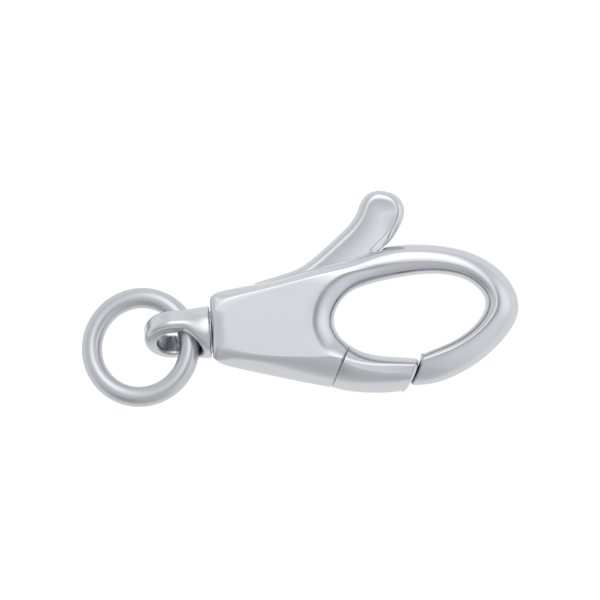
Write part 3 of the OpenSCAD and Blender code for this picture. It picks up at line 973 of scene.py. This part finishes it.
def tongue_outline(plan):
    """The outline of the tongue, from the heel round the lever to the hub and the neck."""
    outline = list(plan.lever)
    outline += plan.placed(plan.edge(LEVER_EDGE, plan.lever_end))
    outline += plan.placed(plan.neck(NECK_TOP))
    outline += plan.placed(plan.neck(NECK_LOW))
    outline += plan.placed(plan.edge(HEEL_EDGE, plan.heel)[::-1])
    return outline


class CLASP_OT_housing(Operator):
    """Builds the hook and housing, with its slot, its pin's hole and its swivel's socket"""

    bl_idname = "clasp.housing"
    bl_label = "Hook and housing"

    # The loft's steps and smoothing, and the rows that are drawn up to each end.
    LOFT_STEPS, EASE, END_ROWS = 10, 30, 14
    # How far the tip's edge draws in at the sides, and at the top and bottom.
    TIP_SIDE, TIP_DEEP = 0.12 * MM, 0.38 * MM
    # The metal over the end of the pin.
    PIN_COVER = 0.4 * MM

    def loft(self, plan):
        """The solid hook and housing, cut to the tip's end face and to the seam."""
        h = plan.h
        rings = rings_of(body_sections(plan), self.LOFT_STEPS, self.EASE, plan.half)
        tip = round_cut(plan.pivot, plan.tip_r, -1)
        rings = finished_end(rings, tip, self.END_ROWS, h.tip_edge, self.TIP_SIDE, self.TIP_DEEP)
        seam = straight_cut(plan.seam_inner, plan.seam_square)
        rings = finished_end(rings[::-1], seam, self.END_ROWS, h.edge, SEAM_SIDE, SEAM_DEEP)
        return loft_mesh("hook_and_housing", rings)

    def execute(self, context):
        plan, eye, finish = chosen()
        bore, pocket = eye.stem_d / 2 + eye.stem_gap, eye.head_d / 2 + eye.stem_gap
        step, deep = eye.stem_l - eye.stem_gap, eye.stem_l + eye.head_l + eye.stem_gap
        socket = [[bore, -1 * MM], [bore, step], [pocket, step], [pocket, deep]]
        hole = plan.t.pin_d / 2
        pin = [[hole, -plan.h.body_t], [hole, plan.half - self.PIN_COVER]]
        mesh = carved(self.loft(plan), [
            prism_mesh("slot", slot_outline(plan), plan.t.lever_t + 2 * plan.t.slot_gap),
            round_mesh("socket", socket, (0, 0, 0), (1, 0, 0)),
            round_mesh("pin_hole", pin, (*plan.pivot, 0), (0, 0, 1)),
        ])
        material = silver_material("polished_silver", finish.silver, finish, 1.0)
        add_piece(mesh, "housing", "body_hook", material)
        return {"FINISHED"}


class CLASP_OT_trigger(Operator):
    """Builds the trigger: the gate, the tongue inside the housing and the thumb lever"""

    bl_idname = "clasp.trigger"
    bl_label = "Thumb lever and gate"

    # The lever's rolled rim, its share near the lever's end, and where it widens from that.
    RIM_ROLL, RIM_END, RIM_FADE = 0.42 * MM, 0.35, [0.1 * MM, 0.8 * MM]
    # How far the panel takes to sink from its back rim, from its front rim and round the hub.
    PANEL_EASE, PANEL_STEP, HUB_EASE = 1.15 * MM, 0.16 * MM, 0.3 * MM
    # The grid that finds the lever's surface, the finer one that it is looked up in, and the
    # room over the lever and beside it.
    CELL, FINE, ROOM, MARGIN = 0.045 * MM, 0.03 * MM, 0.7 * MM, 0.3 * MM
    # The gate's steps and smoothing, and the rows that are drawn up to its seam and its end.
    LOFT_STEPS, EASE, SEAM_ROWS, END_ROWS = 14, 20, 8, 30
    # How far the gate's end draws in at the sides, and at the top and bottom.
    END_SIDE, END_DEEP = 0.22 * MM, 0.3 * MM

    def lever_top(self, plan, flat):
        """The height of the lever's rolled rim and sunk panel over points of the middle plane."""
        t, half = plan.t, plan.t.lever_t / 2
        turn_row = PAD_TURN * LEVER_STEPS
        back, front = plan.lever[:turn_row], plan.lever[turn_row:]
        front = np.vstack([front, front[-1] + (front[-1] - front[-2]) * LEVER_STEPS])
        near_end = np.linalg.norm(flat - plan.lever[-1], axis=1)
        roll = self.RIM_END + (1 - self.RIM_END) * soft_step(near_end, *self.RIM_FADE)
        roll = roll * self.RIM_ROLL
        rise = np.clip(distance_to(flat, plan.lever), 0, roll)
        fall = np.clip((distance_to(flat, back) - t.pad_rim * 0.8) / self.PANEL_EASE, 0, 1)
        sink = 1 - (1 - fall) ** 2
        sink *= soft_step(distance_to(flat, front), t.pad_rim * 0.9, self.PANEL_STEP)
        sink *= soft_step(np.linalg.norm(flat - plan.pivot, axis=1), t.hub_d / 2, self.HUB_EASE)
        return half - roll + np.sqrt(roll**2 - (roll - rise) ** 2) - t.pad_sink * sink

    def lever_field(self, plan):
        """The lever's field, looked up in a fine table of its height and depth, and its corner."""
        outline = np.array(tongue_outline(plan))
        low = outline.min(0) - 4 * self.CELL
        count = np.ceil((outline.max(0) + 4 * self.CELL - low) / self.FINE).astype(int) + 2
        axes = [low[k] + self.FINE * np.arange(count[k]) for k in (0, 1)]
        flat = np.stack(np.meshgrid(*axes, indexing="ij"), -1).reshape(-1, 2)
        known = np.stack([self.lever_top(plan, flat), inside_depth(flat, outline)], -1)
        known = known.reshape(*count, 2)

        def field(p):
            place = (p[:, :2] - low) / self.FINE
            i = np.clip(place.astype(int), 0, count - 2)
            f = np.clip(place - i, 0, 1)
            high, depth = sum(
                known[i[:, 0] + a, i[:, 1] + b]
                * (np.abs(1 - a - f[:, :1]) * np.abs(1 - b - f[:, 1:]))
                for a in (0, 1) for b in (0, 1)
            ).T
            return np.maximum(-depth, np.abs(p[:, 2]) - high)

        return field, low

    def gate(self, plan):
        """The gate, cut to the seam and to its round end."""
        edge, wide = plan.h.edge, plan.t.gate_edge
        rings = rings_of(gate_sections(plan), self.LOFT_STEPS, self.EASE, plan.half)
        seam = straight_cut(plan.gate_start, -plan.seam_square)
        rings = finished_end(rings, seam, self.SEAM_ROWS, edge, SEAM_SIDE, SEAM_DEEP)
        end = round_cut(plan.pivot, plan.gate_r, 1)
        rings = finished_end(rings[::-1], end, self.END_ROWS, wide, self.END_SIDE, self.END_DEEP)
        return loft_mesh("gate", rings)

    def execute(self, context):
        plan, _, finish = chosen()
        field, corner = self.lever_field(plan)
        high = [plan.t.pad_out + self.MARGIN, plan.t.pad_up + self.MARGIN, self.ROOM]
        lever = surface_mesh("lever", field, [*corner, -self.ROOM], high, self.CELL)
        material = silver_material("lever_silver", finish.silver, finish, 1.3)
        add_piece(self.gate(plan), "trigger", "trigger_gate", material)
        add_piece(lever, "trigger", "trigger_gate", material, 50)
        return {"FINISHED"}


def distance_to(points, line):
    """Distance of each point from a line through several places."""
    best = np.full(len(points), np.inf)
    for a, b in zip(line[:-1], line[1:]):
        run = b - a
        t = np.clip((points - a) @ run / (run @ run), 0, 1)
        best = np.minimum(best, ((points - a - t[:, None] * run) ** 2).sum(1))
    return np.sqrt(best)


def inside_depth(points, outline):
    """Depth of each point inside a closed outline, negative outside."""
    closed = np.vstack([outline, outline[:1]])
    inside = np.zeros(len(points), bool)
    for a, b in zip(closed[:-1], closed[1:]):
        crosses = (a[1] > points[:, 1]) != (b[1] > points[:, 1])
        if a[1] != b[1]:
            meets = a[0] + (points[:, 1] - a[1]) / (b[1] - a[1]) * (b[0] - a[0])
            inside ^= crosses & (points[:, 0] < meets)
    return distance_to(points, closed) * np.where(inside, 1, -1)


def soft_step(value, start, width):
    """0 before the start, 1 past the width, and smooth between."""
    t = np.clip((value - start) / width, 0, 1)
    return t * t * (3 - 2 * t)


class CLASP_OT_eye(Operator):
    """Builds the swivel eye: a flat loop that widens into its round collar and stem"""

    bl_idname = "clasp.eye"
    bl_label = "Swivel eye"

    # The flat eye's rounding, and the stretch over which it widens into its collar.
    CORNER, TAPER, TAPER_END = 0.24 * MM, 1.5 * MM, 0.12 * MM
    # The roundings at the swivel seam and round the hole.
    SEAM_EDGE, HOLE_EDGE = 0.08 * MM, 0.13 * MM
    # How far the hole's walls lean, and from where.
    LEAN, LEAN_FROM = 0.15 * MM, [1.45 * MM, 0.45 * MM]
    # The boss in the swivel seam as a share, and how far the stem runs into its head.
    BOSS, INTO_HEAD = 0.8, 0.15 * MM
    # The grid that finds the eye's surface, its reach to each side and up, and room at the ends.
    CELL, REACH_Y, REACH_Z = 0.04 * MM, 1.7 * MM, 1.5 * MM
    BEFORE, BEHIND = 0.2 * MM, 0.15 * MM

    def eye_field(self, eye):
        """The eye's field before its turn, and how far it reaches along the swivel axis."""
        near = -eye.swivel_gap - eye.eye_wall - eye.hole_w / 2
        far = near + eye.hole_w - eye.hole_l
        outer_r = eye.hole_w / 2 + eye.rim_w
        collar_r = eye.collar_d / 2

        def field(p):
            x, y, z = p.T
            grown = soft_step(x, -self.TAPER, self.TAPER - eye.swivel_gap - self.TAPER_END)
            wide = outer_r + (collar_r - outer_r) * grown
            high = eye.eye_t / 2 + (collar_r - eye.eye_t / 2) * grown
            corner = self.CORNER + (collar_r - self.CORNER) * grown
            off = np.hypot(x - np.clip(x, far, 0), y)
            over = np.stack([off - wide + corner, np.abs(z) - high + corner], 1)
            solid = np.linalg.norm(np.maximum(over, 0), axis=1) + np.minimum(over.max(1), 0)
            solid = melted(solid - corner, x + eye.swivel_gap, self.SEAM_EDGE)
            lean = 2 * self.LEAN * np.clip(z / eye.eye_t, -0.5, 0.5)
            lean = lean * soft_step(-x, *self.LEAN_FROM)
            hole = eye.hole_w / 2 - np.hypot(x - np.clip(x, far, near), y + lean)
            solid = melted(solid, hole, self.HOLE_EDGE)
            round_off = np.hypot(y, z)
            rods = [
                (self.BOSS * collar_r, -eye.swivel_gap, self.BOSS * eye.swivel_gap),
                (eye.stem_d / 2, eye.stem_l / 2, eye.stem_l / 2 + self.INTO_HEAD),
                (eye.head_d / 2, eye.stem_l + eye.head_l / 2, eye.head_l / 2),
            ]
            for radius, middle, half in rods:
                solid = np.minimum(solid, np.maximum(round_off - radius, np.abs(x - middle) - half))
            return solid

        return field, far - outer_r

    def execute(self, context):
        _, eye, finish = chosen()
        field, left = self.eye_field(eye)
        low = [left - self.BEFORE, -self.REACH_Y, -self.REACH_Z]
        high = [eye.stem_l + eye.head_l + self.BEHIND, self.REACH_Y, self.REACH_Z]
        mesh = surface_mesh("swivel_loop", field, low, high, self.CELL)
        mesh.transform(Matrix.Rotation(eye.eye_turn, 4, "X"))
        material = silver_material("eye_silver", finish.silver, finish, 1.6, finish.worn / 3)
        add_piece(mesh, "swivel", "swivel_eye", material, 50)
        return {"FINISHED"}


class CLASP_OT_ring(Operator):
    """Builds the closed jump ring of round wire"""

    bl_idname = "clasp.ring"
    bl_label = "Jump ring"

    # Points round the ring and round its wire, the share of the silver's colour left by the painted
    # shade that darkens the whole ring to dim its highlight, and its share of the wear.
    AROUND, WIRE, DULL, WEAR = 240, 56, 0.9, 0.8

    def execute(self, context):
        _, eye, finish = chosen()
        ring_r = (eye.ring_d + eye.wire_d) / 2
        a, b = np.meshgrid(
            np.linspace(0, 2 * math.pi, self.AROUND, endpoint=False),
            np.linspace(0, 2 * math.pi, self.WIRE, endpoint=False), indexing="ij",
        )
        off = ring_r + eye.wire_d / 2 * np.cos(b)
        points = np.stack([off * np.cos(a), off * np.sin(a), eye.wire_d / 2 * np.sin(b)], -1)
        faces = loop_faces(self.AROUND, self.WIRE, True)
        mesh = mesh_of("jump_ring_wire", points.reshape(-1, 3), faces)
        wire_x = -eye.swivel_gap - eye.eye_wall - eye.ring_gap - eye.wire_d / 2
        slope = math.tan(eye.ring_tilt) / math.sqrt(2)
        cos, sin = math.cos(eye.ring_turn), math.sin(eye.ring_turn)
        middle = (wire_x - ring_r * cos, -ring_r * sin, -slope * ring_r * (cos - sin))
        tilt = Matrix.Rotation(eye.ring_tilt, 4, Vector((-1, -1, 0)))
        mesh.transform(Matrix.Translation(middle) @ tilt)
        # Painted shade: the ring's silver is made darker all over so that its highlight stays dim.
        shaded_tint = tuple(self.DULL * c for c in finish.silver)
        material = silver_material("ring_silver", shaded_tint, finish, 1.2, self.WEAR * finish.worn)
        add_piece(mesh, "swivel", "jump_ring", material)
        return {"FINISHED"}


class CLASP_OT_pin(Operator):
    """Gives the pivot pin its polished finish"""

    bl_idname = "clasp.pin"
    bl_label = "Pivot pin"

    def execute(self, context):
        finish = context.scene.clasp_finish
        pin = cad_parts["pivot_pin"]
        pin.data.materials.clear()
        pin.data.materials.append(silver_material("pin_silver", finish.silver, finish, 2.0))
        return {"FINISHED"}


class CLASP_OT_stage(Operator):
    """Sets the table, the soft light and the camera that looks straight down"""

    bl_idname = "clasp.stage"
    bl_label = "Table, light and camera"

    TABLE_REACH = 0.6
    TABLE_DROP = 0.01 * MM

    def execute(self, context):
        scene = context.scene
        stage = scene.clasp_stage
        scene.view_settings.view_transform = "Standard"
        light_round_table(scene)
        far, drop = self.TABLE_REACH, -self.TABLE_DROP
        corners = [(x * far, y * far, drop) for x, y in ((-1, -1), (1, -1), (1, 1), (-1, 1))]
        mesh = bpy.data.meshes.new("table_top")
        mesh.from_pydata(corners, [], [[0, 1, 2, 3]])
        mesh.materials.append(table_material(stage))
        table = bpy.data.objects.new("table_top", mesh)
        scene.collection.objects.link(table)
        data = bpy.data.cameras.new("camera")
        data.lens = data.sensor_width * stage.camera_up / stage.picture_w
        data.clip_start, data.clip_end = 0.01, 10.0
        camera = bpy.data.objects.new("camera", data)
        camera.location = Vector((stage.camera_x, stage.camera_y, stage.camera_up)) + seat()
        camera.rotation_euler = (0.0, 0.0, stage.camera_turn)
        scene.collection.objects.link(camera)
        scene.camera = camera
        return {"FINISHED"}


class CLASP_PT_sidebar(Panel):
    """The clasp's sizes, finish and building steps"""

    bl_idname = "CLASP_PT_sidebar"
    bl_label = "Lobster clasp"
    bl_space_type = "VIEW_3D"
    bl_region_type = "UI"
    bl_category = "Clasp"

    def draw(self, context):
        layout, scene = self.layout, context.scene
        for step in STEPS:
            layout.operator(step.bl_idname)
        for name in GROUPS:
            group = getattr(scene, name)
            box = layout.box()
            for key in type(group).__annotations__:
                box.prop(group, key)


GROUPS = {
    "clasp_housing": HousingSizes,
    "clasp_trigger": TriggerSizes,
    "clasp_eye": EyeSizes,
    "clasp_finish": FinishSettings,
    "clasp_stage": StageSettings,
}
STEPS = (
    CLASP_OT_stage, CLASP_OT_housing, CLASP_OT_trigger, CLASP_OT_pin, CLASP_OT_eye, CLASP_OT_ring,
)


def register():
    """Adds the clasp's settings, steps and panel to Blender."""
    for group in GROUPS.values():
        bpy.utils.register_class(group)
    for name, group in GROUPS.items():
        setattr(bpy.types.Scene, name, PointerProperty(type=group))
    for step in (*STEPS, CLASP_PT_sidebar):
        bpy.utils.register_class(step)


def unregister():
    """Takes the clasp's settings, steps and panel out of Blender."""
    for step in (CLASP_PT_sidebar, *reversed(STEPS)):
        bpy.utils.unregister_class(step)
    for name, group in reversed(GROUPS.items()):
        delattr(bpy.types.Scene, name)
        bpy.utils.unregister_class(group)


def main():
    """Builds the whole clasp."""
    register()
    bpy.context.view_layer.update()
    bpy.ops.clasp.stage()
    bpy.ops.clasp.housing()
    bpy.ops.clasp.trigger()
    bpy.ops.clasp.pin()
    bpy.ops.clasp.eye()
    bpy.ops.clasp.ring()


if __name__ == "__main__":
    main()
